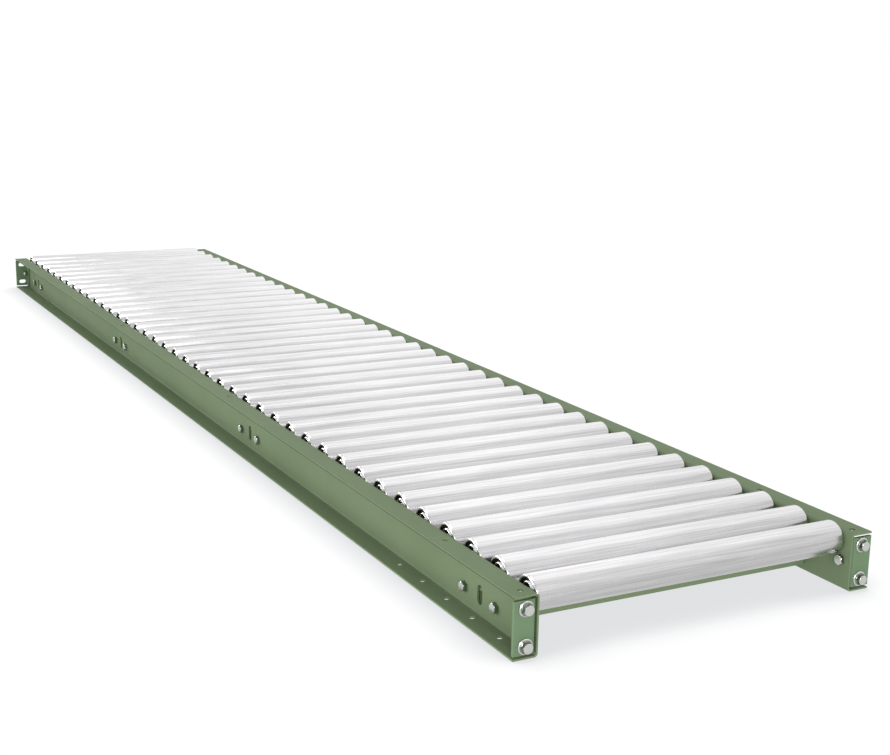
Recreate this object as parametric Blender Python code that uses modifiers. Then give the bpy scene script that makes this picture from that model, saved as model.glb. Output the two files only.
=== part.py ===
"""Gravity roller conveyor section, 10 ft long and 24 in wide over its rails.

Metres, +Z up. +X runs along the section to its front end, where the coupling bolts are, and +Y runs
across it to the right rail. The section stands on z = 0, centred on its overall box.
"""
import math

import bmesh
import bpy
from mathutils import Matrix, Vector

# Driving dimensions
SECTION_LENGTH = 3.048
BETWEEN_RAILS = 0.5334
ROLLER_COUNT = 40
ROLLER_PITCH = 0.0762
CLEARANCE = 0.0003

# Side rails: channels with the web inward and the flanges outward
RAIL_HEIGHT = 0.0889
FLANGE_WIDTH = 0.0381
SHEET = 0.0027
BEND_RADIUS = 0.0055
BEND_STEPS = 3

# Rollers on hexagonal axles
ROLLER_RADIUS = 0.0254
ROLLER_WALL = 0.00165
ROLLER_HEIGHT = 0.0746
ROLLER_SIDES = 12
ROLLER_END_GAP = 0.003
HUB_RECESS = 0.005
HUB_LENGTH = 0.012
HUB_BORE_RADIUS = 0.0071
AXLE_FLATS = 0.0111
AXLE_PROUD = 0.0032
AXLE_INSIDE = 0.017

# Crossmembers: inverted pans bolted between the rails, under the rollers
CROSS_STATIONS = (1.3716, 0.4572, -0.4572, -1.3716)
CROSS_WIDTH = 0.1143
CROSS_DEPTH = 0.03365
CROSS_BOTTOM = 0.0115
CROSS_BOLT_PITCH = 0.0889
CROSS_BOLT_HEIGHT = 0.0286
SLOT_WIDTH = 0.0143
SLOT_LENGTH = 0.029
SLOT_HEIGHT = 0.031

# Butt couplings: angles that close the ends of the rails
COUPLING_HEIGHT = 0.0762
COUPLING_SHEET = 0.00476
COUPLING_BEND = 0.0075
COUPLING_WEB_LEG = 0.030
COUPLING_SLOT_FROM_WEB = 0.020
COUPLING_SLOT_SPACING = 0.0524
COUPLING_SLOT_WIDTH = 0.020
WEB_BOLT_FROM_END = 0.019

# Fasteners, 3/8 in
BOLT_RADIUS = 0.00476
HOLE_RADIUS = 0.0056
HEX_FLATS = 0.0143
HEAD_HEIGHT = 0.006
NUT_HEIGHT = 0.0082
THREAD_PROUD = 0.0025
BOLT_FLANGE_RADIUS = 0.0112
BOLT_FLANGE_HEIGHT = 0.002
FLANGED_HEAD_HEIGHT = 0.009
HOLE_SIDES = 8
# How far a solid reaches into the one that it is joined to
BITE = 0.0008

# Hole rows in the flanges, as distances from the ends of the rail
TOP_HOLES_FROM_END = (0.019, 0.2286, 1.143)
BOTTOM_HOLE_FROM_END = 0.06985
BOTTOM_HOLE_COUNT = 5
FLANGE_HOLE_RADIUS = 0.0045
FLANGE_HOLE_FROM_WEB = 0.0175

# Worked out from the driving dimensions
HALF_LENGTH = SECTION_LENGTH / 2
RAIL_FACE = BETWEEN_RAILS / 2
RAIL_MIDDLE = RAIL_HEIGHT / 2
ROLLER_HALF = RAIL_FACE - ROLLER_END_GAP
FRONT_PROUD = CLEARANCE + FLANGED_HEAD_HEIGHT
FIRST_ROLLER = HALF_LENGTH - ROLLER_PITCH / 2

TO_SIDE = Matrix.Rotation(math.radians(90), 4, "X")
TO_FRONT = Matrix.Rotation(math.radians(90), 4, "Y")
SIDES = {"left": -1, "right": 1}


def make_material(name, colour, roughness, metallic):
    material = bpy.data.materials.new(name)
    material.use_nodes = True
    shader = material.node_tree.nodes["Principled BSDF"]
    shader.inputs["Base Color"].default_value = (*colour, 1.0)
    shader.inputs["Roughness"].default_value = roughness
    shader.inputs["Metallic"].default_value = metallic
    material.diffuse_color = (*colour, 1.0)
    return material


def make_collection(name):
    collection = bpy.data.collections.new(name)
    bpy.context.scene.collection.children.link(collection)
    return collection


def add_part(name, mesh, material, location=(0, 0, 0), rotation=(0, 0, 0)):
    part = bpy.data.objects.new(name, mesh)
    part.parent = section
    part.location = location
    part.rotation_euler = rotation
    if not mesh.materials:
        mesh.materials.append(material)
    parts.objects.link(part)
    return part


def add_boolean(part, operation, mesh):
    """Cut or join a mesh that is drawn in the part's own frame."""
    tool = bpy.data.objects.new(f"{part.name}_{operation.lower()}", mesh)
    tool.parent = section
    tool.location = part.location
    tool.rotation_euler = part.rotation_euler
    tool.hide_render = True
    tool.display_type = "WIRE"
    cutters.objects.link(tool)
    boolean = part.modifiers.new(operation.title(), "BOOLEAN")
    boolean.operation = operation
    boolean.solver = "EXACT"
    boolean.use_self = operation == "UNION"
    boolean.object = tool


def arc(centre, radius, start, end, steps):
    """Points of an arc, with its angles in degrees."""
    angles = [math.radians(start + (end - start) * i / steps) for i in range(steps + 1)]
    return [(centre[0] + radius * math.cos(a), centre[1] + radius * math.sin(a)) for a in angles]


def channel_outline(base, leg, sheet, radius):
    """Section of a bent channel: the base lies on local y = 0 and the legs stand to y = leg."""
    inner = radius - sheet
    left = (-base / 2 + radius, radius)
    right = (base / 2 - radius, radius)
    return [
        (-base / 2, leg),
        *arc(left, radius, 180, 270, BEND_STEPS),
        *arc(right, radius, 270, 360, BEND_STEPS),
        (base / 2, leg),
        (base / 2 - sheet, leg),
        *arc(right, inner, 360, 270, BEND_STEPS),
        *arc(left, inner, 270, 180, BEND_STEPS),
        (-base / 2 + sheet, leg),
    ]


def angle_outline(long_leg, short_leg, sheet, radius):
    """Section of a bent angle: its outer corner is at the origin, its legs along +x and +y."""
    centre = (radius, radius)
    return [
        (0, short_leg),
        *arc(centre, radius, 180, 270, BEND_STEPS),
        (long_leg, 0),
        (long_leg, sheet),
        *arc(centre, radius - sheet, 270, 180, BEND_STEPS),
        (sheet, short_leg),
    ]


def bake(drawn):
    """Mesh of a drawn object as its modifiers leave it; the object is removed."""
    bpy.context.scene.collection.objects.link(drawn)
    bpy.context.view_layer.update()
    evaluated = drawn.evaluated_get(bpy.context.evaluated_depsgraph_get())
    mesh = bpy.data.meshes.new_from_object(evaluated)
    mesh.name = drawn.name
    bpy.data.objects.remove(drawn)
    return mesh


def extrude_outline(name, outline, length):
    """Closed mesh of a flat outline, extruded by half the length to each side along local z."""
    curve = bpy.data.curves.new(name, "CURVE")
    curve.dimensions = "2D"
    curve.fill_mode = "BOTH"
    curve.extrude = length / 2
    spline = curve.splines.new("POLY")
    spline.points.add(len(outline) - 1)
    for point, (x, y) in zip(spline.points, outline):
        point.co = (x, y, 0, 1)
    spline.use_cyclic_u = True
    mesh = bake(bpy.data.objects.new(name, curve))
    bpy.data.curves.remove(curve)
    solid = bmesh.new()
    solid.from_mesh(mesh)
    bmesh.ops.remove_doubles(solid, verts=solid.verts, dist=0.00001)
    solid.to_mesh(mesh)
    solid.free()
    return mesh


def add_prism(solid, sides, radius, start, end, placing, turn=0.0):
    """Add a closed prism along local z, from start to end, under a placing matrix."""
    middle = Matrix.Translation((0, 0, (start + end) / 2)) @ Matrix.Rotation(turn, 4, "Z")
    bmesh.ops.create_cone(
        solid, cap_ends=True, segments=sides, radius1=radius, radius2=radius,
        depth=end - start, matrix=placing @ middle,
    )


def add_box(solid, size, centre):
    matrix = Matrix.Translation(centre) @ Matrix.Diagonal((*size, 1))
    bmesh.ops.create_cube(solid, size=1, matrix=matrix)


def add_slot(solid, width, length, depth, placing):
    """Add a closed slot-shaped prism: width across, length along local y, depth along local z."""
    radius = width / 2
    half = length / 2 - radius
    outline = arc((0, half), radius, 0, 180, 4) + arc((0, -half), radius, 180, 360, 4)
    rows = []
    for z in (-depth / 2, depth / 2):
        rows.append([solid.verts.new(placing @ Vector((x, y, z))) for x, y in outline])
    bottom, top = rows
    solid.faces.new(reversed(bottom))
    solid.faces.new(top)
    for i in range(len(outline)):
        j = (i + 1) % len(outline)
        solid.faces.new((bottom[i], bottom[j], top[j], top[i]))


def finish_mesh(name, solid):
    mesh = bpy.data.meshes.new(name)
    bmesh.ops.recalc_face_normals(solid, faces=solid.faces)
    solid.to_mesh(mesh)
    solid.free()
    return mesh


def hex_radius(flats):
    return flats / math.sqrt(3)


def roller_x(index):
    return FIRST_ROLLER - ROLLER_PITCH * index


def add_shank(solid, placing, head, nut):
    """Bolt shank along local z, from inside the head to just past the nut that ends at nut."""
    add_prism(solid, HOLE_SIDES, BOLT_RADIUS, nut - NUT_HEIGHT - THREAD_PROUD, head + BITE, placing)


def add_head_and_nut(solid, placing, head, head_height, nut):
    """Hexagons of a bolt: its head stands up from head and its nut hangs down from nut."""
    radius = hex_radius(HEX_FLATS)
    add_prism(solid, 6, radius, head, head + head_height, placing, math.pi / 2)
    add_prism(solid, 6, radius, nut - NUT_HEIGHT, nut, placing, math.pi / 2)


def make_rail_mesh():
    """Rail blank: local z along the rail, local x up from its middle, local y outward."""
    outline = channel_outline(RAIL_HEIGHT, FLANGE_WIDTH, SHEET, BEND_RADIUS)
    mesh = extrude_outline("rail", outline, SECTION_LENGTH)
    upright = Matrix(((0, 0, 1, 0), (0, -1, 0, 0), (1, 0, 0, RAIL_MIDDLE), (0, 0, 0, 1)))
    mesh.transform(Matrix.Translation((0, -RAIL_FACE, 0)) @ upright)
    return mesh


def make_rail_holes():
    """Cutters of the left rail: bolt holes and slots in its web, and holes in its flanges."""
    solid = bmesh.new()
    reach = 2 * SHEET
    web = Matrix.Translation((0, -RAIL_FACE - SHEET / 2, 0))
    for station in CROSS_STATIONS:
        for side in (-1, 1):
            hole = Matrix.Translation((station + side * CROSS_BOLT_PITCH / 2, 0, CROSS_BOLT_HEIGHT))
            add_prism(solid, HOLE_SIDES, HOLE_RADIUS, -reach, reach, web @ hole @ TO_SIDE)
        slot = Matrix.Translation((station, 0, SLOT_HEIGHT))
        add_slot(solid, SLOT_WIDTH, SLOT_LENGTH, 2 * reach, web @ slot @ TO_SIDE)
    for end in (-1, 1):
        hole = Matrix.Translation((end * (HALF_LENGTH - WEB_BOLT_FROM_END), 0, RAIL_MIDDLE))
        add_prism(solid, HOLE_SIDES, HOLE_RADIUS, -reach, reach, web @ hole @ TO_SIDE)
        row = -RAIL_FACE - FLANGE_HOLE_FROM_WEB
        for distance in TOP_HOLES_FROM_END:
            hole = Matrix.Translation((end * (HALF_LENGTH - distance), row, RAIL_HEIGHT))
            add_prism(solid, HOLE_SIDES, FLANGE_HOLE_RADIUS, -reach, reach, hole)
        for i in range(BOTTOM_HOLE_COUNT):
            distance = BOTTOM_HOLE_FROM_END + i * ROLLER_PITCH
            hole = Matrix.Translation((end * (HALF_LENGTH - distance), row, 0))
            add_prism(solid, HOLE_SIDES, FLANGE_HOLE_RADIUS, -reach, reach, hole)
    return finish_mesh("rail_holes", solid)


def make_axle_ends():
    """Ends of the hexagonal axles, where they pass through the left rail's web."""
    solid = bmesh.new()
    for index in range(ROLLER_COUNT):
        place = Matrix.Translation((roller_x(index), -RAIL_FACE, ROLLER_HEIGHT)) @ TO_SIDE
        radius = hex_radius(AXLE_FLATS)
        add_prism(solid, 6, radius, -AXLE_INSIDE, SHEET + AXLE_PROUD, place)
    return finish_mesh("axle_ends", solid)


def add_rails():
    rail = make_rail_mesh()
    holes = make_rail_holes()
    axle_ends = make_axle_ends()
    for side, turn in (("left", 0), ("right", math.pi)):
        part = add_part(f"rail_{side}", rail, green_coat, rotation=(0, 0, turn))
        add_boolean(part, "DIFFERENCE", holes)
        add_boolean(part, "UNION", axle_ends)


def make_roller_mesh():
    """Roller tube with a pressed bearing hub in each end, turned about local z."""
    profile = [
        (ROLLER_RADIUS, ROLLER_HALF),
        (ROLLER_RADIUS, -ROLLER_HALF),
        (HUB_BORE_RADIUS, -ROLLER_HALF + HUB_RECESS),
        (HUB_BORE_RADIUS, -ROLLER_HALF + HUB_RECESS + HUB_LENGTH),
        (ROLLER_RADIUS - ROLLER_WALL, -ROLLER_HALF + HUB_RECESS + HUB_LENGTH),
        (ROLLER_RADIUS - ROLLER_WALL, ROLLER_HALF - HUB_RECESS - HUB_LENGTH),
        (HUB_BORE_RADIUS, ROLLER_HALF - HUB_RECESS - HUB_LENGTH),
        (HUB_BORE_RADIUS, ROLLER_HALF - HUB_RECESS),
    ]
    outline = bpy.data.meshes.new("roller_profile")
    edges = [(i, (i + 1) % len(profile)) for i in range(len(profile))]
    outline.from_pydata([(x, 0, z) for x, z in profile], edges, [])
    drawn = bpy.data.objects.new("roller", outline)
    turned = drawn.modifiers.new("Turned", "SCREW")
    turned.axis = "Z"
    turned.steps = ROLLER_SIDES
    turned.render_steps = ROLLER_SIDES
    turned.use_merge_vertices = True
    turned.merge_threshold = 0.00001
    mesh = bake(drawn)
    bpy.data.meshes.remove(outline)
    mesh.shade_smooth()
    mesh.set_sharp_from_angle(angle=math.radians(35))
    return mesh


def add_rollers():
    mesh = make_roller_mesh()
    for index in range(ROLLER_COUNT):
        place = (roller_x(index), 0, ROLLER_HEIGHT)
        add_part(f"roller_{index + 1:02d}", mesh, zinc_tube, place, (math.pi / 2, 0, 0))


def make_crossmember_mesh():
    """Pan of a crossmember, centred over its station, with its flanges down."""
    outline = channel_outline(CROSS_WIDTH, CROSS_DEPTH, SHEET, BEND_RADIUS)
    mesh = extrude_outline("crossmember", outline, BETWEEN_RAILS - 2 * CLEARANCE)
    top = CROSS_BOTTOM + CROSS_DEPTH
    lying = Matrix(((1, 0, 0, 0), (0, 0, 1, 0), (0, -1, 0, top), (0, 0, 0, 1)))
    mesh.transform(lying)
    return mesh


def make_crossmember_ends():
    """End tabs of a crossmember, and the four bolts and nuts that hold them to the rails."""
    solid = bmesh.new()
    tab_middle = RAIL_FACE - CLEARANCE - SHEET / 2
    tab_height = CROSS_DEPTH - SHEET / 2
    tab_size = (CROSS_WIDTH - SHEET, SHEET, tab_height)
    head = SHEET + CLEARANCE
    nut = BITE - CLEARANCE - SHEET
    for side in (-1, 1):
        add_box(solid, tab_size, (0, side * tab_middle, CROSS_BOTTOM + tab_height / 2))
        for end in (-1, 1):
            axis = (end * CROSS_BOLT_PITCH / 2, side * RAIL_FACE, CROSS_BOLT_HEIGHT)
            place = Matrix.Translation(axis) @ Matrix.Rotation(-side * math.pi / 2, 4, "X")
            add_shank(solid, place, head, nut)
            add_head_and_nut(solid, place, head, HEAD_HEIGHT, nut)
    return finish_mesh("crossmember_ends", solid)


def add_crossmembers():
    pan = make_crossmember_mesh()
    ends = make_crossmember_ends()
    for number, station in enumerate(CROSS_STATIONS, start=1):
        part = add_part(f"crossmember_{number}", pan, green_coat, (station, 0, 0))
        add_boolean(part, "UNION", ends)


def make_coupling_mesh():
    """Coupling angle of the front left corner: one leg across the end, one along the web."""
    end_leg = FLANGE_WIDTH - SHEET - 2 * CLEARANCE
    outline = angle_outline(end_leg, COUPLING_WEB_LEG, COUPLING_SHEET, COUPLING_BEND)
    mesh = extrude_outline("coupling", outline, COUPLING_HEIGHT)
    corner = (HALF_LENGTH, -RAIL_FACE - SHEET - CLEARANCE, 0)
    turned = Matrix(((0, -1, 0, 0), (-1, 0, 0, 0), (0, 0, -1, 0), (0, 0, 0, 1)))
    mesh.transform(Matrix.Translation(corner) @ turned)
    return mesh


def make_coupling_holes():
    solid = bmesh.new()
    reach = 2 * COUPLING_SHEET
    middle = HALF_LENGTH - COUPLING_SHEET / 2
    for side in (-1, 1):
        height = side * COUPLING_SLOT_SPACING / 2
        place = Matrix.Translation((middle, -RAIL_FACE - COUPLING_SLOT_FROM_WEB, height))
        add_slot(solid, 2 * HOLE_RADIUS, COUPLING_SLOT_WIDTH, 2 * reach, place @ TO_FRONT)
    web_bolt = Matrix.Translation((HALF_LENGTH - WEB_BOLT_FROM_END, -RAIL_FACE - SHEET, 0))
    add_prism(solid, HOLE_SIDES, HOLE_RADIUS, -reach, reach, web_bolt @ TO_SIDE)
    return finish_mesh("coupling_holes", solid)


def add_couplings():
    """Each corner's angle is the front left one, turned about the middle of the section."""
    mesh = make_coupling_mesh()
    holes = make_coupling_holes()
    turns = {
        "front_left": (0, 0, 0),
        "front_right": (math.pi, 0, 0),
        "back_left": (0, math.pi, 0),
        "back_right": (0, 0, math.pi),
    }
    for corner, turn in turns.items():
        part = add_part(f"coupling_{corner}", mesh, green_coat, (0, 0, RAIL_MIDDLE), turn)
        add_boolean(part, "DIFFERENCE", holes)


def make_bolt_meshes(name, head, head_height, nut):
    """Shank of a bolt, and the head and nut that are joined to it; local z runs to the head."""
    shank = bmesh.new()
    add_shank(shank, Matrix(), head, nut)
    ends = bmesh.new()
    add_head_and_nut(ends, Matrix(), head, head_height, nut)
    return finish_mesh(name, shank), ends


def add_coupling_bolts():
    """Flanged bolts of the front couplings, with their heads to the front."""
    nut = -COUPLING_SHEET - 2 * CLEARANCE
    shank, ends = make_bolt_meshes("coupling_bolt", BITE, FLANGED_HEAD_HEIGHT - BITE, nut)
    add_prism(ends, 12, BOLT_FLANGE_RADIUS, 0, BOLT_FLANGE_HEIGHT, Matrix())
    ends = finish_mesh("coupling_bolt_ends", ends)
    for side, sign in SIDES.items():
        for level, step in (("upper", 1), ("lower", -1)):
            place = (
                HALF_LENGTH + CLEARANCE,
                sign * (RAIL_FACE + COUPLING_SLOT_FROM_WEB),
                RAIL_MIDDLE + step * COUPLING_SLOT_SPACING / 2,
            )
            name = f"coupling_bolt_{side}_{level}"
            part = add_part(name, shank, zinc_bolt, place, (0, math.pi / 2, 0))
            add_boolean(part, "UNION", ends)


def add_web_bolts():
    """Bolts that hold the couplings to the webs, with their heads between the rails."""
    nut = -SHEET - COUPLING_SHEET - 2 * CLEARANCE
    shank, ends = make_bolt_meshes("web_bolt", CLEARANCE, HEAD_HEIGHT, nut)
    ends = finish_mesh("web_bolt_ends", ends)
    for side, sign in SIDES.items():
        for end, step in (("front", 1), ("back", -1)):
            place = (step * (HALF_LENGTH - WEB_BOLT_FROM_END), sign * RAIL_FACE, RAIL_MIDDLE)
            turn = (sign * math.pi / 2, 0, 0)
            part = add_part(f"web_bolt_{end}_{side}", shank, zinc_bolt, place, turn)
            add_boolean(part, "UNION", ends)


for old in list(bpy.data.objects):
    bpy.data.objects.remove(old, do_unlink=True)

parts = make_collection("roller_conveyor_section")
cutters = make_collection("cutters")
section = bpy.data.objects.new("section_middle", None)
section.location = (-FRONT_PROUD / 2, 0, 0)
parts.objects.link(section)

green_coat = make_material("green_powder_coat", (0.18, 0.26, 0.16), 0.45, 0.0)
zinc_tube = make_material("galvanised_tube", (0.78, 0.79, 0.80), 0.28, 1.0)
zinc_bolt = make_material("bright_zinc_fastener", (0.72, 0.73, 0.70), 0.3, 1.0)

add_rails()
add_rollers()
add_crossmembers()
add_couplings()
add_coupling_bolts()
add_web_bolts()
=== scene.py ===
"""Looks of the gravity roller conveyor section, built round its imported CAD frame.

Metres, +Z up, in the CAD's own frame: +X runs to the front end and +Y to the right rail.
"""

import math

import bmesh
import bpy
from mathutils import Matrix, Vector


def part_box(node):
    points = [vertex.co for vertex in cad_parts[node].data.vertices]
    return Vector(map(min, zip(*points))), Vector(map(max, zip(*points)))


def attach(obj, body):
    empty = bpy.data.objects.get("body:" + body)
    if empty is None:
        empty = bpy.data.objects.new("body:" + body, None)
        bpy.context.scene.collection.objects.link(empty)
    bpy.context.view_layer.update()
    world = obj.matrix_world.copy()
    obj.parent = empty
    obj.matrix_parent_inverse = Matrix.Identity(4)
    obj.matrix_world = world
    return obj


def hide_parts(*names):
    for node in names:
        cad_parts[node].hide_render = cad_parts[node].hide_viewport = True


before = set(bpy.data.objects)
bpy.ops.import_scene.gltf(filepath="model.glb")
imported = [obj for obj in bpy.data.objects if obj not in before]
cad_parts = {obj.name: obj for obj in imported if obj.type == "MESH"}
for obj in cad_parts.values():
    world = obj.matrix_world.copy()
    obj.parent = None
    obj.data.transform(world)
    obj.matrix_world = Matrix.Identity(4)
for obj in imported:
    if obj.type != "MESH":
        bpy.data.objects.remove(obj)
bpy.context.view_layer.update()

ROLLER_COUNT = 40
CROSS_COUNT = 4

# Sheet metal of the rails, crossmembers and couplings
FLANGE_WIDTH = 0.0381
SHEET = 0.0027
BEND_RADIUS = 0.0055
BEND_STEPS = 10
CLEARANCE = 0.0003
EDGE_ROUND = 0.0008
CROSS_EDGE_ROUND = 0.0004
EDGE_SPLIT = 0.5  # how far into the sheet a flange's cut edge is divided
TAB_BEND_RADIUS = 0.0105
TAB_BEND_STEPS = 4
CROSS_BOLT_PITCH = 0.0889
CROSS_BOLT_HEIGHT = 0.0286
CROSS_WIDTH = 0.1143
CROSS_DEPTH = 0.03365
CROSS_BOTTOM = 0.0115
SLOT_WIDTH = 0.0143
SLOT_LENGTH = 0.029
SLOT_HEIGHT = 0.031
COUPLING_HEIGHT = 0.0762
COUPLING_SHEET = 0.00476
COUPLING_BEND = 0.0075
COUPLING_WEB_LEG = 0.030
COUPLING_SLOT_FROM_WEB = 0.020
COUPLING_SLOT_SPACING = 0.0524
COUPLING_SLOT_WIDTH = 0.020
WEB_BOLT_FROM_END = 0.019
TOP_HOLES_FROM_END = (0.019, 0.2286, 1.143)
BOTTOM_HOLE_FROM_END = 0.06985
BOTTOM_HOLE_COUNT = 5
FLANGE_HOLE_RADIUS = 0.0045
FLANGE_HOLE_FROM_WEB = 0.0175
HOLE_RADIUS = 0.0056
HOLE_STEPS = 32

# Rollers, bearings and hexagonal axles
TUBE_WALL = 0.00165
TUBE_CURL = 0.0032
TURN_STEPS = 72
BEARING_RECESS = 0.005
BEARING_LENGTH = 0.012
RACE_RADIUS = 0.0112
RACE_PLAY = 0.0004
AXLE_FLATS = 0.0111
AXLE_PROUD = 0.0032
AXLE_CHAMFER = 0.0012
AXLE_TIP = 0.0002
BORE_PLAY = 0.0003

# Profiles at a roller's end, inward from the tube's wall: (radius, height over the bearing's face)
SHIELD = ((0.0232, -0.0012), (0.0190, -0.0012))
CUP = (
    (0.0187, -0.0006), (0.0181, 0.0006), (0.0170, 0.0019), (0.0158, 0.0032),
    (0.0150, 0.0040), (0.0146, 0.0042), (0.0143, 0.0038),
)
GAP = ((0.0142, -0.0026), (RACE_RADIUS, -0.0026))
COLLAR_RADII = (0.0078, 0.0084, 0.0086)
COLLAR_CHAMFER = 0.0006
RACE = ((0.0090, 0.0012), (0.0104, -0.0004), (RACE_RADIUS - RACE_PLAY, -0.0012))

# Fasteners, 3/8 in
BOLT_RADIUS = 0.00476
THREAD_PITCH = 0.00159
THREAD_DEPTH = 0.0007
HEX_FLATS = 0.0143
HEX_CHAMFER = 0.0011
HEAD_HEIGHT = 0.006
NUT_HEIGHT = 0.0082
THREAD_PROUD = 0.0025
THREAD_TURN_STEPS = 8
THREAD_OVER_NUT = 0.0006
THREAD_RUNOUT = 0.0004
TIP_INSET = 0.0016
TIP_CHAMFER = 0.0008
TIP_LENGTH = 0.001
NUT_CHAMFER = 0.0007
NUT_PLAY = 0.0001
WASHER_FACE = 0.0004
BOLT_FLANGE_RADIUS = 0.0112
BOLT_FLANGE_HEIGHT = 0.002
FLANGE_FILLET = 0.0006
FLANGED_HEX_FOOT = 0.0010
FLANGED_HEAD_HEIGHT = 0.009
BOLT_STEPS = 48
CHAMFER_STEPS = 5

# Where the CAD puts the rails and rollers
rail_low, rail_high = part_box("rail_left")
MIDDLE_X = (rail_low.x + rail_high.x) / 2
HALF_LENGTH = (rail_high.x - rail_low.x) / 2
RAIL_HEIGHT = rail_high.z
RAIL_MIDDLE = RAIL_HEIGHT / 2
RAIL_FACE = -rail_low.y - FLANGE_WIDTH
roller_low, roller_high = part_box("roller_01")
ROLLER_HALF = roller_high.y
ROLLER_RADIUS = (roller_high.z - roller_low.z) / 2
ROLLER_HEIGHT = (roller_high.z + roller_low.z) / 2
TO_SIDE = Matrix.Rotation(math.radians(90), 4, "X")
TO_FRONT = Matrix.Rotation(math.radians(90), 4, "Y")
SIDES = {"left": -1, "right": 1}


def middle_x(node):
    low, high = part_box(node)
    return (low.x + high.x) / 2


# Meshes


def arc(centre, radius, start, end, steps):
    """Points of an arc, with its angles in degrees."""
    angles = [math.radians(start + (end - start) * i / steps) for i in range(steps + 1)]
    return [(centre[0] + radius * math.cos(a), centre[1] + radius * math.sin(a)) for a in angles]


def finish_mesh(name, solid, sharp_degrees=35):
    mesh = bpy.data.meshes.new(name)
    bmesh.ops.recalc_face_normals(solid, faces=solid.faces)
    solid.to_mesh(mesh)
    solid.free()
    mesh.shade_smooth()
    mesh.set_sharp_from_angle(angle=math.radians(sharp_degrees))
    return mesh


def add_extruded(solid, outline, placing, start, end):
    """Add a closed flat outline, extruded along local z from start to end."""
    rows = [[solid.verts.new(placing @ Vector((x, y, z))) for x, y in outline] for z in (start, end)]
    bottom, top = rows
    solid.faces.new(reversed(bottom))
    solid.faces.new(top)
    for i in range(len(outline)):
        j = (i + 1) % len(outline)
        solid.faces.new((bottom[i], bottom[j], top[j], top[i]))


def add_turned(solid, rings, steps, materials=None, loop=False, placing=Matrix()):
    """Add a closed body turned about local z. A ring is (radius, height), and its radius is a
    length or a function of the angle. materials numbers the band of faces after each ring. A loop
    joins its last ring to its first; otherwise a flat face closes each end."""
    rows = []
    for radius, height in rings:
        row = []
        for i in range(steps):
            angle = 2 * math.pi * i / steps
            out = radius(angle) if callable(radius) else radius
            row.append(placing @ Vector((out * math.cos(angle), out * math.sin(angle), height)))
        rows.append([solid.verts.new(point) for point in row])
    for k in range(len(rows) if loop else len(rows) - 1):
        here, there = rows[k], rows[(k + 1) % len(rows)]
        for i in range(steps):
            j = (i + 1) % steps
            face = solid.faces.new((here[i], here[j], there[j], there[i]))
            face.material_index = materials[k] if materials else 0
    if not loop:
        solid.faces.new(reversed(rows[0]))
        solid.faces.new(rows[-1])


def add_drill(solid, radius, reach, placing, steps=HOLE_STEPS):
    """Add the cutter of a hole along local z that reaches both ways from its middle."""
    add_turned(solid, ((radius, -reach), (radius, reach)), steps, placing=placing)


def hexagon(flats, largest=1.0):
    """Radius of a hexagon by angle, its corners cut off at a largest radius."""
    return lambda angle: min(largest, flats / 2 / math.cos(angle % (math.pi / 3) - math.pi / 6))


def applied(name, mesh, cutters=(), joined=(), bevel=0.0, bevel_degrees=40):
    """Mesh with other meshes cut from it and joined to it, and its sharp edges rounded."""
    drawn = bpy.data.objects.new(name, mesh)
    bpy.context.scene.collection.objects.link(drawn)
    tools = []
    for operation, meshes in (("UNION", joined), ("DIFFERENCE", cutters)):
        for tool_mesh in meshes:
            tool = bpy.data.objects.new("tool", tool_mesh)
            bpy.context.scene.collection.objects.link(tool)
            boolean = drawn.modifiers.new(operation, "BOOLEAN")
            boolean.operation = operation
            boolean.solver = "EXACT"
            boolean.object = tool
            tools.append(tool)
    if bevel:
        rounding = drawn.modifiers.new("Rounded", "BEVEL")
        rounding.width = bevel
        rounding.segments = 2
        rounding.limit_method = "ANGLE"
        rounding.angle_limit = math.radians(bevel_degrees)
        rounding.harden_normals = True
    bpy.context.view_layer.update()
    depsgraph = bpy.context.evaluated_depsgraph_get()
    result = bpy.data.meshes.new_from_object(drawn.evaluated_get(depsgraph))
    result.name = name
    for thing in (drawn, *tools):
        bpy.data.objects.remove(thing)
    return result


def add_piece(name, mesh, placing, body, materials=(), replaces=()):
    """Show a mesh as a piece of the object that moves with a CAD body."""
    if not mesh.materials:
        for material in materials:
            mesh.materials.append(material)
    piece = bpy.data.objects.new(name, mesh)
    piece.matrix_world = placing
    bpy.context.scene.collection.objects.link(piece)
    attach(piece, body)
    if replaces:
        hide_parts(*replaces)


def channel_outline(base, leg, sheet, radius):
    """Section of a bent channel: the base lies on local y = 0 and the legs stand to y = leg. Each
    leg's cut edge is in two strips, so that one strip can take a painted shade."""
    inner = radius - sheet
    left = (-base / 2 + radius, radius)
    right = (base / 2 - radius, radius)
    return [
        (-base / 2, leg),
        *arc(left, radius, 180, 270, BEND_STEPS),
        *arc(right, radius, 270, 360, BEND_STEPS),
        (base / 2, leg),
        (base / 2 - sheet * EDGE_SPLIT, leg),
        (base / 2 - sheet, leg),
        *arc(right, inner, 360, 270, BEND_STEPS),
        *arc(left, inner, 270, 180, BEND_STEPS),
        (-base / 2 + sheet, leg),
        (-base / 2 + sheet * EDGE_SPLIT, leg),
    ]


def angle_outline(long_leg, short_leg, sheet, radius):
    """Section of a bent angle: its outer corner is at the origin, its legs along +x and +y."""
    centre = (radius, radius)
    return [
        (0, short_leg),
        *arc(centre, radius, 180, 270, BEND_STEPS),
        (long_leg, 0),
        (long_leg, sheet),
        *arc(centre, radius - sheet, 270, 180, BEND_STEPS),
        (sheet, short_leg),
    ]


def slot_outline(width, length):
    """Outline of a slot with round ends, its length along local y."""
    radius = width / 2
    half = length / 2 - radius
    steps = HOLE_STEPS // 2
    return arc((0, half), radius, 0, 180, steps) + arc((0, -half), radius, 180, 360, steps)


# Rails


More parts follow.
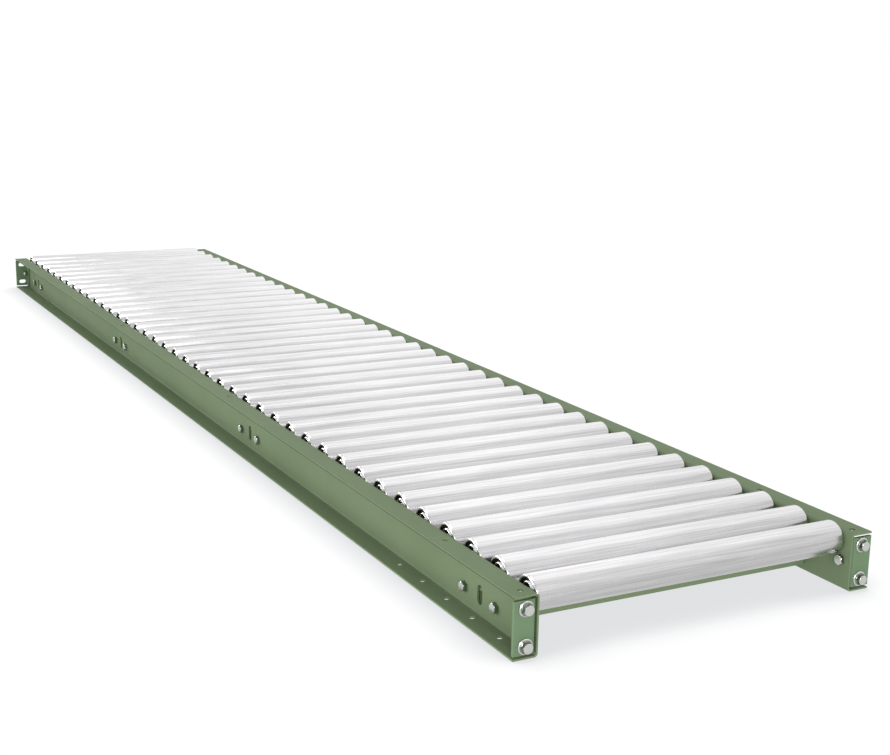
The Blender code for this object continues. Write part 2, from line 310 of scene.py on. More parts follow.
def make_rail():
    """Left rail, about the middle of the section: a bent channel with all its holes. The lower half
    of its top flange's cut edge has the darker coat, a painted shadow line under the flange's edge."""
    blank = bmesh.new()
    upright = Matrix(((0, 0, 1, 0), (0, -1, 0, -RAIL_FACE), (1, 0, 0, RAIL_MIDDLE), (0, 0, 0, 1)))
    outline = channel_outline(RAIL_HEIGHT, FLANGE_WIDTH, SHEET, BEND_RADIUS)
    add_extruded(blank, outline, upright, -HALF_LENGTH, HALF_LENGTH)
    holes = bmesh.new()
    reach = 2 * SHEET
    web = -RAIL_FACE - SHEET / 2
    for number in range(1, CROSS_COUNT + 1):
        station = middle_x(f"crossmember_{number}") - MIDDLE_X
        for side in (-1, 1):
            hole = Matrix.Translation((station + side * CROSS_BOLT_PITCH / 2, web, CROSS_BOLT_HEIGHT))
            add_drill(holes, HOLE_RADIUS, reach, hole @ TO_SIDE)
        slot = Matrix.Translation((station, web, SLOT_HEIGHT))
        add_extruded(holes, slot_outline(SLOT_WIDTH, SLOT_LENGTH), slot @ TO_SIDE, -reach, reach)
    for number in range(1, ROLLER_COUNT + 1):
        hole = Matrix.Translation((middle_x(f"roller_{number:02d}") - MIDDLE_X, web, ROLLER_HEIGHT))
        add_drill(holes, hexagon(AXLE_FLATS + 2 * BORE_PLAY), reach, hole @ TO_SIDE, steps=6)
    row = -RAIL_FACE - FLANGE_HOLE_FROM_WEB
    pitch = middle_x("roller_01") - middle_x("roller_02")
    for end in (-1, 1):
        places = [(end * (HALF_LENGTH - distance), row, RAIL_HEIGHT) for distance in TOP_HOLES_FROM_END]
        for i in range(BOTTOM_HOLE_COUNT):
            places.append((end * (HALF_LENGTH - BOTTOM_HOLE_FROM_END - i * pitch), row, 0))
        for place in places:
            add_drill(holes, FLANGE_HOLE_RADIUS, reach, Matrix.Translation(place))
        web_bolt = Matrix.Translation((end * (HALF_LENGTH - WEB_BOLT_FROM_END), web, RAIL_MIDDLE))
        add_drill(holes, HOLE_RADIUS, reach, web_bolt @ TO_SIDE)
    cutter = finish_mesh("rail_holes", holes)
    mesh = applied("side_rail", finish_mesh("rail_blank", blank), [cutter], bevel=EDGE_ROUND)
    # Painted shade: the lower strip of the top flange's outer cut edge takes the darker coat, as a shadow
    # line.
    lip = RAIL_FACE + FLANGE_WIDTH - EDGE_ROUND
    for face in mesh.polygons:
        painted_shadow_strip = RAIL_HEIGHT - SHEET < face.center.z < RAIL_HEIGHT - SHEET * EDGE_SPLIT
        face.material_index = int(painted_shadow_strip and -face.center.y > lip)
    return mesh


def add_rails():
    mesh = make_rail()
    for side, turn in (("left", 0), ("right", math.pi)):
        placing = Matrix.Translation((MIDDLE_X, 0, 0)) @ Matrix.Rotation(turn, 4, "Z")
        coats = (green_coat, painted_shade_coat)
        add_piece(f"side_rail_{side}", mesh, placing, "frame", coats, (f"rail_{side}",))


# Rollers and axles


def make_roller():
    """Galvanised tube with curled ends and a bearing pressed into each, turned about local z."""
    tube, cup, seal = 0, 1, 2
    end = ROLLER_HALF
    curl = (ROLLER_RADIUS - TUBE_CURL, end - TUBE_CURL)
    inside = ROLLER_RADIUS - TUBE_WALL
    face = end - BEARING_RECESS
    outer = arc(curl, TUBE_CURL, 0, 90, 7)
    rim = ((-0.0007, 0.0001), (-0.0010, 0.0006), (-0.0008, TUBE_WALL))
    lip = [(curl[0] + inward, end - drop) for inward, drop in rim]
    under = arc(curl, TUBE_CURL - TUBE_WALL, 90, 0, 5)
    rings = [(r, z, tube) for r, z in outer + lip + under]
    # The recesses round the bearing's cup take the near-black seal material, which also paints their
    # shade.
    for profile, metal in ((((inside, 0), *SHIELD), seal), (CUP, cup), (GAP, seal)):
        rings += [(r, face + z, metal) for r, z in profile]
    rings += [(RACE_RADIUS, face - BEARING_LENGTH, seal), (inside, face - BEARING_LENGTH, tube)]
    bands = [metal for _, _, metal in rings]
    bands += [metal for _, _, metal in reversed(rings[:-1])] + [tube]
    rings = [(r, z) for r, z, _ in rings] + [(r, -z) for r, z, _ in reversed(rings)]
    solid = bmesh.new()
    add_turned(solid, rings, TURN_STEPS, bands, loop=True)
    return finish_mesh("roller_tube", solid, 50)


def make_axle():
    """Hexagonal axle along local z, with a bearing's inner race round it at each end."""
    bar, race = 0, 1
    half = RAIL_FACE + SHEET + AXLE_PROUD
    flat = AXLE_FLATS / 2
    rings = []
    for radius, height in (
        (flat * 0.80, half), (flat * 0.93, half - AXLE_TIP), (flat * 1.155, half - AXLE_CHAMFER),
    ):
        rings.append((hexagon(AXLE_FLATS, radius), height))
    rings += [(radius, -height) for radius, height in reversed(rings)]
    solid = bmesh.new()
    add_turned(solid, rings, BOLT_STEPS, [bar] * (len(rings) - 1))
    web = RAIL_FACE - CLEARANCE
    face = ROLLER_HALF - BEARING_RECESS
    bore = hexagon(AXLE_FLATS + BORE_PLAY)
    foot = face - BEARING_LENGTH
    collar = zip(COLLAR_RADII, (web, web - COLLAR_CHAMFER, ROLLER_HALF))
    profile = [(bore, web), *collar, *((radius, face + height) for radius, height in RACE)]
    profile += [(RACE_RADIUS - RACE_PLAY, foot), (bore, foot)]
    for side in (1, -1):
        placing = Matrix.Rotation(0 if side == 1 else math.pi, 4, "X")
        add_turned(solid, profile, BOLT_STEPS, [race] * len(profile), loop=True, placing=placing)
    return finish_mesh("hex_axle", solid, 30)


def add_rollers():
    tube, axle = make_roller(), make_axle()
    for number in range(1, ROLLER_COUNT + 1):
        node = f"roller_{number:02d}"
        placing = Matrix.Translation((middle_x(node), 0, ROLLER_HEIGHT)) @ TO_SIDE
        metals = (tube_zinc, bearing_zinc, seal_and_painted_shade)
        add_piece(f"tube_{number:02d}", tube, placing, node, metals, (node,))
        add_piece(f"axle_{number:02d}", axle, placing, "frame", (axle_steel, bolt_zinc))


# Crossmembers and couplings


def make_crossmember():
    """Inverted pan about its station, with a tab bent down at each end and bolt holes through it.
    The tabs' outer faces have the darker coat, a painted shade for the dark seen through the rails' slots."""
    top = CROSS_BOTTOM + CROSS_DEPTH
    reach = RAIL_FACE - CLEARANCE
    pan = bmesh.new()
    lying = Matrix(((1, 0, 0, 0), (0, 0, 1, 0), (0, -1, 0, top), (0, 0, 0, 1)))
    outline = channel_outline(CROSS_WIDTH, CROSS_DEPTH, SHEET, BEND_RADIUS)
    add_extruded(pan, outline, lying, -reach + EDGE_ROUND, reach - EDGE_ROUND)
    tabs, trims = bmesh.new(), bmesh.new()
    along = Matrix(((0, 0, 1, 0), (1, 0, 0, 0), (0, 1, 0, 0), (0, 0, 0, 1)))
    half_tab = (CROSS_WIDTH - SHEET) / 2
    foot, head = CROSS_BOTTOM + EDGE_ROUND, top - SHEET / 2
    centre = (reach - TAB_BEND_RADIUS, top - TAB_BEND_RADIUS)
    inner = arc(centre, TAB_BEND_RADIUS - SHEET, 0, 90, TAB_BEND_STEPS)
    outer = arc(centre, TAB_BEND_RADIUS, 0, 90, BEND_STEPS)
    for side in (-1, 1):
        face, back = side * reach, side * (reach - SHEET)
        fillet = [(side * y, z) for y, z in inner]
        tab = [(back, foot), (face, foot), (face, head), (side * centre[0], head)]
        add_extruded(tabs, tab + fillet[::-1][:-1], along, -half_tab, half_tab)
        bend = [(side * y, z) for y, z in outer]
        beyond = side * (reach + SHEET)
        corner = [(side * centre[0], top + SHEET), (beyond, top + SHEET), (beyond, centre[1])]
        add_extruded(trims, bend + corner, along, -CROSS_WIDTH, CROSS_WIDTH)
        for end in (-1, 1):
            hole = Matrix.Translation((end * CROSS_BOLT_PITCH / 2, face, CROSS_BOLT_HEIGHT)) @ TO_SIDE
            add_drill(trims, HOLE_RADIUS, 2 * SHEET, hole)
    blank, joined, cutter = (
        finish_mesh(name, solid) for name, solid in (("pan", pan), ("tabs", tabs), ("trims", trims))
    )
    mesh = applied("pan_crossmember", blank, [cutter], [joined], bevel=CROSS_EDGE_ROUND)
    # Painted shade: the tabs' outer faces, seen through the rails' slots, take the darker coat.
    for face in mesh.polygons:
        face.material_index = int(abs(face.normal.y) > 0.99 and abs(face.center.y) > reach - CLEARANCE)
    return mesh


def make_coupling():
    """Coupling angle of the front left corner, about the middle of the section."""
    angle = bmesh.new()
    end_leg = FLANGE_WIDTH - SHEET - 2 * CLEARANCE
    outline = angle_outline(end_leg, COUPLING_WEB_LEG, COUPLING_SHEET, COUPLING_BEND)
    corner = Matrix.Translation((HALF_LENGTH, -RAIL_FACE - SHEET - CLEARANCE, 0))
    turned = Matrix(((0, -1, 0, 0), (-1, 0, 0, 0), (0, 0, -1, 0), (0, 0, 0, 1)))
    add_extruded(angle, outline, corner @ turned, -COUPLING_HEIGHT / 2, COUPLING_HEIGHT / 2)
    holes = bmesh.new()
    reach = 2 * COUPLING_SHEET
    middle = HALF_LENGTH - COUPLING_SHEET / 2
    for step in (-1, 1):
        place = (middle, -RAIL_FACE - COUPLING_SLOT_FROM_WEB, step * COUPLING_SLOT_SPACING / 2)
        outline = slot_outline(2 * HOLE_RADIUS, COUPLING_SLOT_WIDTH)
        add_extruded(holes, outline, Matrix.Translation(place) @ TO_FRONT, -reach, reach)
    web_bolt = Matrix.Translation((HALF_LENGTH - WEB_BOLT_FROM_END, -RAIL_FACE - SHEET, 0)) @ TO_SIDE
    add_drill(holes, HOLE_RADIUS, reach, web_bolt)
    cutter = finish_mesh("coupling_holes", holes)
    return applied("coupling_angle", finish_mesh("coupling_blank", angle), [cutter], bevel=EDGE_ROUND)


def add_frame_members():
    pan, coupling = make_crossmember(), make_coupling()
    for number in range(1, CROSS_COUNT + 1):
        node = f"crossmember_{number}"
        placing = Matrix.Translation((middle_x(node), 0, 0))
        add_piece(f"pan_{node}", pan, placing, "frame", (green_coat, painted_shade_coat), (node,))
    turns = {"front_left": None, "front_right": "X", "back_left": "Y", "back_right": "Z"}
    for corner, axis in turns.items():
        turn = Matrix.Rotation(math.pi, 4, axis) if axis else Matrix()
        placing = Matrix.Translation((MIDDLE_X, 0, RAIL_MIDDLE)) @ turn
        node = f"coupling_{corner}"
        add_piece(f"angle_{node}", coupling, placing, "frame", (coupling_coat,), (node,))


# Fasteners


def thread(height):
    """Radius of the bolt's thread by angle at a height along it."""
    def radius(angle):
        turn = (height / THREAD_PITCH - angle / (2 * math.pi)) % 1
        return BOLT_RADIUS - THREAD_DEPTH * abs(2 * turn - 1)
    return radius


def chamfered(low, high, both_ends):
    """Rings of a hexagon whose corners are turned off at its top, and at its foot as well."""
    corner, flat = HEX_FLATS / math.sqrt(3), HEX_FLATS / 2 * 0.97
    steps = CHAMFER_STEPS
    fade = [(corner + (flat - corner) * i / steps, HEX_CHAMFER * i / steps) for i in range(steps + 1)]
    top = [(hexagon(HEX_FLATS, radius), high - HEX_CHAMFER + drop) for radius, drop in fade]
    foot = [(hexagon(HEX_FLATS, radius), low + HEX_CHAMFER - drop) for radius, drop in reversed(fade)]
    return (foot if both_ends else [(hexagon(HEX_FLATS), low)]) + top


def make_bolt(name, head, head_height, nut, flanged=False):
    """Bolt along local z with its head up from head, and its nut down from nut. The sides of its
    hexagons and the top of its flange next to the hexagon have a darker zinc: painted shade and dark
    reflections."""
    tip = nut - NUT_HEIGHT - THREAD_PROUD
    threaded = nut + THREAD_OVER_NUT
    rings = [(BOLT_RADIUS - TIP_INSET, tip), (BOLT_RADIUS - THREAD_DEPTH, tip + TIP_CHAMFER)]
    for i in range(int((threaded - tip - TIP_LENGTH) / THREAD_PITCH * THREAD_TURN_STEPS)):
        height = tip + TIP_LENGTH + i * THREAD_PITCH / THREAD_TURN_STEPS
        rings.append((thread(height), height))
    rings += [(BOLT_RADIUS, threaded + THREAD_RUNOUT), (BOLT_RADIUS, head)]
    if flanged:
        rim, crown = BOLT_FLANGE_RADIUS, head + BOLT_FLANGE_HEIGHT
        for inset, height in ((0.0004, 0), (0, 0.0004), (0, 0.0010), (0.0005, 0.0015)):
            rings.append((rim - inset, head + height))
        rings += [(rim - 0.0016, crown), (HEX_FLATS / 2 * 1.1, crown + FLANGE_FILLET)]
        rings += chamfered(crown + FLANGED_HEX_FOOT, head + head_height, False)
    else:
        rings.append((HEX_FLATS / 2 * 0.96, head))
        rings += chamfered(head + WASHER_FACE, head + head_height, False)
    solid = bmesh.new()
    add_turned(solid, rings, BOLT_STEPS)
    bore, low = BOLT_RADIUS + NUT_PLAY, nut - NUT_HEIGHT
    inner = [
        (bore + NUT_CHAMFER, nut), (bore, nut - NUT_CHAMFER),
        (bore, low + NUT_CHAMFER), (bore + NUT_CHAMFER, low),
    ]
    add_turned(solid, chamfered(low, nut, True) + inner, BOLT_STEPS, loop=True)
    mesh = finish_mesh(name, solid, 30)
    # Painted shade and dark reflections: the hexagons' sides and the flange's top beside the hexagon take
    # the darker zinc.
    for face in mesh.polygons:
        out = face.center.xy.length
        on_side = abs(face.normal.z) < 0.3 and HEX_FLATS * 0.47 < out < HEX_FLATS * 0.6
        on_skirt = flanged and HEX_FLATS / 2 < out < BOLT_FLANGE_RADIUS - 0.0014 and face.center.z > head
        face.material_index = int(on_side or on_skirt)
    return mesh


def on_point(degrees=0):
    """Turn that stands a hexagon on a corner, and then by some degrees more."""
    return Matrix.Rotation(math.radians(90 + degrees), 4, "Z")


def add_bolts():
    cross_bolt = make_bolt("cross_bolt", SHEET + CLEARANCE, HEAD_HEIGHT, -CLEARANCE - SHEET)
    web_bolt = make_bolt("web_bolt", CLEARANCE, HEAD_HEIGHT, -SHEET - COUPLING_SHEET - 2 * CLEARANCE)
    foot = -COUPLING_SHEET - CLEARANCE
    end_bolt = make_bolt("end_bolt", CLEARANCE, FLANGED_HEAD_HEIGHT, foot, flanged=True)
    zincs = (bolt_zinc, bolt_painted_shade)
    for side, sign in SIDES.items():
        outward = Matrix.Rotation(-sign * math.pi / 2, 4, "X")
        for number in range(1, CROSS_COUNT + 1):
            for end, step in (("front", 1), ("back", -1)):
                x = middle_x(f"crossmember_{number}") + step * CROSS_BOLT_PITCH / 2
                place = Matrix.Translation((x, sign * RAIL_FACE, CROSS_BOLT_HEIGHT))
                name = f"cross_bolt_{number}_{side}_{end}"
                placing = place @ outward @ on_point(4 * step * number)
                add_piece(name, cross_bolt, placing, "frame", zincs)
        for end, step in (("front", 1), ("back", -1)):
            x = MIDDLE_X + step * (HALF_LENGTH - WEB_BOLT_FROM_END)
            place = Matrix.Translation((x, sign * RAIL_FACE, RAIL_MIDDLE))
            placing = place @ outward.inverted() @ on_point(7)
            node = f"web_bolt_{end}_{side}"
            add_piece(f"hex_{node}", web_bolt, placing, "frame", zincs, (node,))
        for level, step in (("upper", 1), ("lower", -1)):
            y = sign * (RAIL_FACE + COUPLING_SLOT_FROM_WEB)
            height = RAIL_MIDDLE + step * COUPLING_SLOT_SPACING / 2
            place = Matrix.Translation((MIDDLE_X + HALF_LENGTH, y, height))
            placing = place @ TO_FRONT @ on_point(12 * step + 8)
            node = f"coupling_bolt_{side}_{level}"
            add_piece(f"flanged_{node}", end_bolt, placing, "frame", zincs, (node,))


# Materials


def start_material(name, colour, roughness, metallic=0.0):
    material = bpy.data.materials.new(name)
    material.use_nodes = True
    tree = material.node_tree
    shader = tree.nodes["Principled BSDF"]
    shader.inputs["Base Color"].default_value = (*colour, 1)
    shader.inputs["Roughness"].default_value = roughness
    shader.inputs["Metallic"].default_value = metallic
    return material, tree, shader


def add_node(tree, kind, settings=(), links=()):
    node = tree.nodes.new(kind)
    for name, value in settings:
        if isinstance(name, int):
            node.inputs[name].default_value = value
        elif name in node.inputs:
            node.inputs[name].default_value = value
        else:
            setattr(node, name, value)
    for name, source in links:
        tree.links.new(source, node.inputs[name])
    return node


def own_coordinates(tree, scale, shift_by_place=False):
    """The piece's own coordinates, scaled; the shift gives each piece its own patch of a pattern."""
    source = tree.nodes.new("ShaderNodeTexCoord").outputs["Object"]
    if shift_by_place:
        place = tree.nodes.new("ShaderNodeObjectInfo").outputs["Location"]
        add = add_node(tree, "ShaderNodeVectorMath", [("operation", "ADD")])
        tree.links.new(source, add.inputs[0])
        tree.links.new(place, add.inputs[1])
        source = add.outputs[0]
    return add_node(tree, "ShaderNodeMapping", [("Scale", scale)], [("Vector", source)]).outputs[0]


def noise(tree, vector, scale, detail=3.0, roughness=0.5):
    settings = [("Scale", scale), ("Detail", detail), ("Roughness", roughness)]
    return add_node(tree, "ShaderNodeTexNoise", settings, [("Vector", vector)]).outputs["Fac"]


def ramp(tree, factor, low, high, start=0.0, end=1.0):
    """A value that goes from low to high as the factor goes from start to end."""
    settings = [("From Min", start), ("From Max", end), ("To Min", low), ("To Max", high)]
    return add_node(tree, "ShaderNodeMapRange", settings, [("Value", factor)]).outputs["Result"]


def blend_colours(tree, factor, first, second):
    node = add_node(tree, "ShaderNodeMix", [("data_type", "RGBA")], [("Factor", factor)])
    for number, colour in ((6, first), (7, second)):
        if isinstance(colour, tuple):
            node.inputs[number].default_value = (*colour, 1)
        else:
            tree.links.new(colour, node.inputs[number])
    return node.outputs[2]


def add_bump(tree, shader, height, strength, distance):
    settings = [("Strength", strength), ("Distance", distance)]
    bump = add_node(tree, "ShaderNodeBump", settings, [("Height", height)])
    tree.links.new(bump.outputs["Normal"], shader.inputs["Normal"])


def make_green_coat(name, dark, light, fleck):
    """Satin powder coat: fine orange peel, a colour that drifts from dark to light, and flecks."""
    material, tree, shader = start_material(name, light, 0.4)
    shader.inputs["Specular IOR Level"].default_value = 0.04
    metres = own_coordinates(tree, (1, 1, 1), shift_by_place=True)
    drift = ramp(tree, noise(tree, metres, scale=5.0, detail=4.0), 0.0, 1.0, 0.35, 0.65)
    colour = blend_colours(tree, drift, dark, light)
    speckle = ramp(tree, noise(tree, metres, scale=1400.0, detail=2.0), 0.0, 0.35, 0.5, 0.75)
    tree.links.new(blend_colours(tree, speckle, colour, fleck), shader.inputs["Base Color"])
    sheen = ramp(tree, noise(tree, metres, scale=60.0, detail=3.0), 0.50, 0.60)
    tree.links.new(sheen, shader.inputs["Roughness"])
    add_bump(tree, shader, noise(tree, metres, scale=520.0, detail=2.0), 0.25, 0.0002)
    return material


def make_tube_zinc():
    """Galvanised tube: streaks drawn along it, a faint spangle, and a roughness that follows them."""
    material, tree, shader = start_material("tube_zinc", (0.86, 0.86, 0.87), 0.2, 1.0)
    metres = own_coordinates(tree, (1, 1, 1), shift_by_place=True)
    drawn_out, drawn_wide = (
        own_coordinates(tree, (1, 1, squeeze), shift_by_place=True) for squeeze in (0.016, 0.02)
    )
    streaks = noise(tree, drawn_out, scale=420.0, detail=4.0, roughness=0.6)
    bands = noise(tree, drawn_wide, scale=120.0, detail=2.0)
    cells = add_node(tree, "ShaderNodeTexVoronoi", [("Scale", 110.0)], [("Vector", metres)])
    spangle = add_node(tree, "ShaderNodeSeparateColor", (), [("Color", cells.outputs["Color"])]).outputs[0]
    tone = ramp(tree, streaks, 0.0, 1.0, 0.35, 0.62)
    colour = blend_colours(tree, tone, (0.645, 0.635, 0.645), (0.825, 0.815, 0.825))
    colour = blend_colours(tree, ramp(tree, bands, 0.0, 0.5, 0.55, 0.75), colour, (0.66, 0.65, 0.655))
    colour = blend_colours(tree, ramp(tree, spangle, 0.0, 0.08), colour, (0.62, 0.62, 0.64))
    tree.links.new(colour, shader.inputs["Base Color"])
    mixed = add_node(tree, "ShaderNodeMath", [("operation", "ADD")])
    tree.links.new(ramp(tree, streaks, 0.0, 0.10, 0.3, 0.7), mixed.inputs[0])
    clouds = ramp(tree, noise(tree, metres, scale=14.0, detail=4.0), 0.16, 0.23, 0.35, 0.65)
    tree.links.new(clouds, mixed.inputs[1])
    tree.links.new(mixed.outputs[0], shader.inputs["Roughness"])
    waves = add_node(tree, "ShaderNodeMath", [("operation", "MULTIPLY_ADD"), (1, 2.0)])
    tree.links.new(bands, waves.inputs[0])
    tree.links.new(streaks, waves.inputs[2])
    add_bump(tree, shader, waves.outputs[0], 0.13, 0.0002)
    return material


def make_metal(name, colour, tint, roughness, scale):
    """Plated steel, lightly clouded."""
    material, tree, shader = start_material(name, colour, roughness, 1.0)
    metres = own_coordinates(tree, (1, 1, 1), shift_by_place=True)
    clouds = noise(tree, metres, scale=scale, detail=4.0)
    shade = ramp(tree, clouds, 0.0, 1.0, 0.35, 0.65)
    tree.links.new(blend_colours(tree, shade, colour, tint), shader.inputs["Base Color"])
    polish = ramp(tree, clouds, roughness - 0.04, roughness + 0.06, 0.3, 0.7)
    tree.links.new(polish, shader.inputs["Roughness"])
    add_bump(tree, shader, noise(tree, metres, scale=scale * 6, detail=3.0), 0.1, 0.0001)
    return material


def make_seal_and_shade():
    """Near-black seal and grease in the bearing's recesses, between the tube and the cup and between the
    cup and its inner race: partly the seal's own colour, partly painted shade for the recesses.
    """
    material, tree, shader = start_material("seal_and_painted_shade", (0.02, 0.02, 0.02), 0.5)
    metres = own_coordinates(tree, (1, 1, 1))
    grime = noise(tree, metres, scale=400.0, detail=3.0)
    colour = blend_colours(tree, grime, (0.012, 0.012, 0.012), (0.035, 0.033, 0.030))
    tree.links.new(colour, shader.inputs["Base Color"])
    add_bump(tree, shader, grime, 0.3, 0.0002)
    return material


green_coat = make_green_coat(
    "green_coat", dark=(0.134, 0.180, 0.103), light=(0.148, 0.197, 0.115), fleck=(0.105, 0.150, 0.08)
)
coupling_coat = make_green_coat(
    "coupling_coat", dark=(0.120, 0.182, 0.105), light=(0.132, 0.198, 0.117), fleck=(0.095, 0.150, 0.08)
)
# Darker copy of the green coat, for painted shade: the shadow line under the rails' flange edges and the
# dark seen through the rails' slots.
painted_shade_coat = make_green_coat(
    "painted_shade_coat", dark=(0.045, 0.062, 0.028), light=(0.053, 0.072, 0.034), fleck=(0.037, 0.05, 0.024)
)
tube_zinc = make_tube_zinc()
bolt_zinc = make_metal("bolt_zinc", (0.80, 0.83, 0.77), (0.73, 0.76, 0.70), 0.16, 90.0)
# Darker zinc that paints shade and dark reflections on the hexagons' sides and the flange next to them.
bolt_painted_shade = make_metal("bolt_painted_shade", (0.34, 0.36, 0.33), (0.25, 0.27, 0.24), 0.24, 90.0)
bearing_zinc = make_metal("bearing_zinc", (0.80, 0.80, 0.79), (0.68, 0.68, 0.66), 0.22, 180.0)
axle_steel = make_metal("axle_steel", (0.62, 0.62, 0.60), (0.50, 0.50, 0.48), 0.28, 150.0)
seal_and_painted_shade = make_seal_and_shade()

add_rails()
add_rollers()
add_frame_members()
add_bolts()


# Floor, light and camera

FLOOR_REACH = 30
BACKDROP_RADIUS = 45
SHADOW_REACH = 0.125
STUDIO_STRENGTH = 1.4

# The studio's brightness from behind the object (-x, 0) to in front of it (+x, 1)
STUDIO_TONES = (
    (0.30, 0.93), (0.46, 0.95), (0.55, 0.84), (0.66, 0.74), (0.74, 0.64), (0.84, 0.74), (0.96, 0.64),
)
# A factor on it from the left rail's side (-y, 0) to the right rail's (+y, 1)
STUDIO_SIDES = ((0.58, 0.74), (0.66, 0.83), (0.70, 0.98), (0.75, 0.97), (0.81, 0.82))

# Soft lamps: name, place, target, size, power and spread
LAMPS = (
    ("key", (-8, -14, 2.2), (5, 0, 0), (4.5, 4.5), 120, 45),
    ("top", (0, -0.5, 5), (0, 0, 0), (3, 2), 50, 180),
    ("fill", (6.0, -1.9, 1.1), (1.5, 0, 0), (1.6, 1.6), 115, 180),
    ("rim", (-6.3, -2.2, 2.2), (0, -0.3, 0), (1.6, 1.2), 90, 180),
)

# The photograph's view, with its angles in degrees
CAMERA_X, CAMERA_Y, CAMERA_Z = 3.0092, -1.2011, 0.7869
CAMERA_TURN, CAMERA_DIP, CAMERA_ROLL = 62.01, 13.33, 1.13
SENSOR_WIDTH, FOCAL_LENGTH = 36, 58.4
VIEW_REACH = 100


def add_stage(name, solid, height, material, rays):
    """Floor or backdrop, there only for the rays named: camera, diffuse or glossy."""
    mesh = bpy.data.meshes.new(name)
    solid.to_mesh(mesh)
    solid.free()
    mesh.materials.append(material)
    stage = bpy.data.objects.new(name, mesh)
    stage.location.z = height
    for ray in ("camera", "diffuse", "glossy", "transmission", "volume_scatter", "shadow"):
        setattr(stage, f"visible_{ray}", ray in rays)
    bpy.context.scene.collection.objects.link(stage)


def make_paper(name, shade):
    """Paper that glows evenly and stays clear from below; if shade is given, a painted shadow darkens it
    near the object by ambient occlusion.
    """
    material, tree, shader = start_material(name, (0, 0, 0), 1.0)
    shader.inputs["Specular IOR Level"].default_value = 0.0
    glow = add_node(tree, "ShaderNodeEmission", [("Color", (1, 1, 1, 1))])
    if shade:
        # Painted shadow: the glow falls to the shade colour where ambient occlusion finds the object near.
        near = add_node(tree, "ShaderNodeAmbientOcclusion", [("Distance", SHADOW_REACH), ("samples", 24)])
        open_air = ramp(tree, near.outputs["AO"], 0.0, 1.0, 0.52, 0.90)
        tree.links.new(blend_colours(tree, open_air, shade, (1.02, 1.02, 1.02)), glow.inputs["Color"])
    mix = add_node(tree, "ShaderNodeMixShader")
    below = tree.nodes.new("ShaderNodeNewGeometry").outputs["Backfacing"]
    tree.links.new(below, mix.inputs[0])
    tree.links.new(glow.outputs[0], mix.inputs[1])
    tree.links.new(add_node(tree, "ShaderNodeBsdfTransparent").outputs[0], mix.inputs[2])
    tree.links.new(mix.outputs[0], tree.nodes["Material Output"].inputs["Surface"])
    return material


def make_glowing(name, albedo, glow):
    material, tree, shader = start_material(name, (albedo, albedo, albedo), 0.9)
    shader.inputs["Specular IOR Level"].default_value = 0.0
    shader.inputs["Emission Color"].default_value = (1, 1, 1, 1)
    shader.inputs["Emission Strength"].default_value = glow
    return material


def add_floors():
    """One floor, as the camera sees it, as it throws light up at the object, and as metal mirrors it."""
    for name, rays, material in (
        # The camera's floor: its shade colour is the painted shadow near the object.
        ("floor", ("camera",), make_paper("pale_floor", (0.748, 0.756, 0.772))),
        ("floor_bounce", ("diffuse",), make_glowing("bright_floor", 0.45, 1.05)),
        ("floor_mirrored", ("glossy",), make_glowing("grey_floor", 0.32, 0.14)),
    ):
        solid = bmesh.new()
        bmesh.ops.create_grid(solid, x_segments=1, y_segments=1, size=FLOOR_REACH)
        add_stage(name, solid, -CLEARANCE, material, rays)


def add_backdrop():
    solid = bmesh.new()
    bmesh.ops.create_icosphere(solid, subdivisions=3, radius=BACKDROP_RADIUS)
    bmesh.ops.reverse_faces(solid, faces=solid.faces)
    add_stage("backdrop", solid, 0, make_paper("backdrop_paper", None), ("camera",))


def add_area_light(name, place, target, size, power, spread):
    light = bpy.data.lights.new(name, "AREA")
    light.shape = "RECTANGLE"
    light.size, light.size_y = size
    light.energy = power
    light.spread = math.radians(spread)
    lamp = bpy.data.objects.new(name, light)
    lamp.location = place
    lamp.visible_camera = False
    lamp.rotation_euler = (Vector(target) - Vector(place)).to_track_quat("-Z", "Y").to_euler()
    bpy.context.scene.collection.objects.link(lamp)


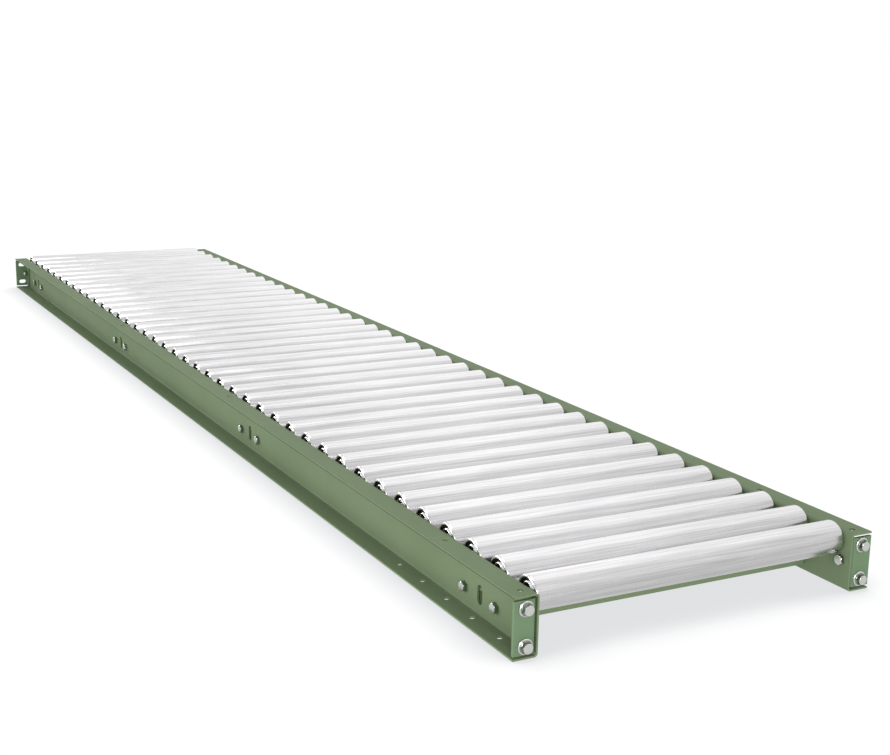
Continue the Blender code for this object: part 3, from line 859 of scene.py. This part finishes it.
def add_tones(tree, place, tones):
    """Greys read off a gradient at the place given."""
    gradient = add_node(tree, "ShaderNodeValToRGB", (), [("Fac", place)])
    stops = gradient.color_ramp.elements
    for number, (position, grey) in enumerate(tones):
        stop = stops[number] if number < 2 else stops.new(position)
        stop.position = position
        stop.color = (grey, grey, grey, 1)
    return gradient.outputs["Color"]


def add_world():
    """Studio that lights the object and shows in its metal: bright behind and over it, and dimmer
    in front, along the horizon, to the left and far to the right."""
    world = bpy.data.worlds.new("studio")
    world.use_nodes = True
    tree = world.node_tree
    direction = tree.nodes.new("ShaderNodeTexCoord").outputs["Generated"]
    parts = add_node(tree, "ShaderNodeSeparateXYZ", (), [("Vector", direction)]).outputs
    level, sides = (
        add_tones(tree, ramp(tree, parts[axis], 0.0, 1.0, -1.0, 1.0), tones)
        for axis, tones in (("X", STUDIO_TONES), ("Y", STUDIO_SIDES))
    )
    for factor in (sides, ramp(tree, parts["Z"], 0.88, 1.0, 0.0, 0.30)):
        product = add_node(tree, "ShaderNodeMath", [("operation", "MULTIPLY")])
        tree.links.new(level, product.inputs[0])
        tree.links.new(factor, product.inputs[1])
        level = product.outputs[0]
    strength = add_node(tree, "ShaderNodeMath", [("operation", "MULTIPLY"), (1, STUDIO_STRENGTH)])
    tree.links.new(level, strength.inputs[0])
    background = tree.nodes["Background"]
    background.inputs["Color"].default_value = (1.0, 1.0, 1.0, 1)
    tree.links.new(strength.outputs[0], background.inputs["Strength"])
    bpy.context.scene.world = world


def add_camera():
    lens = bpy.data.cameras.new("camera")
    lens.sensor_width = SENSOR_WIDTH
    lens.lens = FOCAL_LENGTH
    lens.clip_end = VIEW_REACH
    camera = bpy.data.objects.new("camera", lens)
    place = Matrix.Translation((CAMERA_X + MIDDLE_X, CAMERA_Y, CAMERA_Z))
    turn = Matrix.Rotation(math.radians(CAMERA_TURN), 4, "Z")
    tilt = Matrix.Rotation(math.radians(90 - CAMERA_DIP), 4, "X")
    roll = Matrix.Rotation(math.radians(CAMERA_ROLL), 4, "Z")
    camera.matrix_world = place @ turn @ tilt @ roll
    bpy.context.scene.collection.objects.link(camera)
    bpy.context.scene.camera = camera


add_floors()
add_backdrop()
for lamp in LAMPS:
    add_area_light(*lamp)
add_world()
add_camera()
bpy.context.scene.view_settings.view_transform = "Standard"
